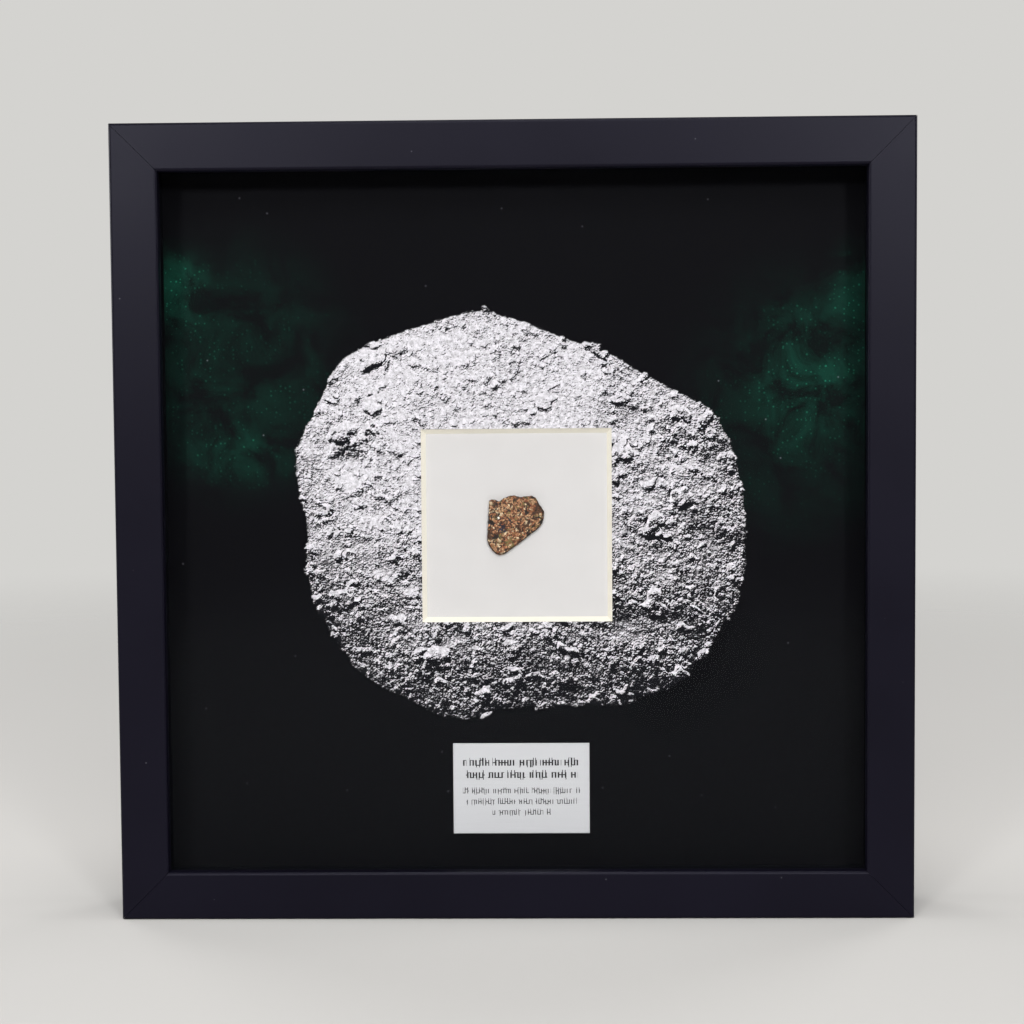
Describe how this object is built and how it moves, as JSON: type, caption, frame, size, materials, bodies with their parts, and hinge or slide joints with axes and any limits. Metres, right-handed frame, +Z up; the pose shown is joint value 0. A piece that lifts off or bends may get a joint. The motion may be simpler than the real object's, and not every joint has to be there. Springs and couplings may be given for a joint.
{
  "type": "framed meteorite specimen",
  "caption": "Square deep box frame with a thin cut meteorite slice on a white board in the bevelled window of a printed mount, over a small label, behind glass.",
  "frame": {"origin": "the middle of the face that the frame stands on, which is the bottom of its box", "axes": "+Z up, -Y out of the glass towards the viewer, +X to the viewer's right"},
  "size_m": [0.25, 0.032, 0.25],
  "materials": {
    "frame_finish": "satin",
    "glazing": "gloss",
    "black_board": "matte",
    "printed_paper": "satin",
    "cream_board": "matte",
    "white_board": "matte",
    "meteorite": "satin",
    "label": "satin",
    "hardboard": "matte",
    "spring_steel": "satin",
    "hanger_brass": "satin"
  },
  "bodies": {
    "root": {"rail_top": "frame_finish", "rail_bottom": "frame_finish", "rail_left": "frame_finish", "rail_right": "frame_finish", "glass_pane": "glazing", "spacer_top": "black_board", "spacer_bottom": "black_board", "spacer_left": "black_board", "spacer_right": "black_board", "picture_print": "printed_paper", "window_mat": "cream_board", "backing_board": "white_board", "meteorite_slice": "meteorite", "label_plate": "label", "back_panel": "hardboard", "turn_tab_1": "spring_steel", "turn_tab_2": "spring_steel", "turn_tab_3": "spring_steel", "turn_tab_4": "spring_steel", "turn_tab_5": "spring_steel", "turn_tab_6": "spring_steel", "turn_tab_7": "spring_steel", "turn_tab_8": "spring_steel", "hanger_plate": "hanger_brass", "hanger_rivet_left": "spring_steel", "hanger_rivet_right": "spring_steel"}
  },
  "joints": []
}
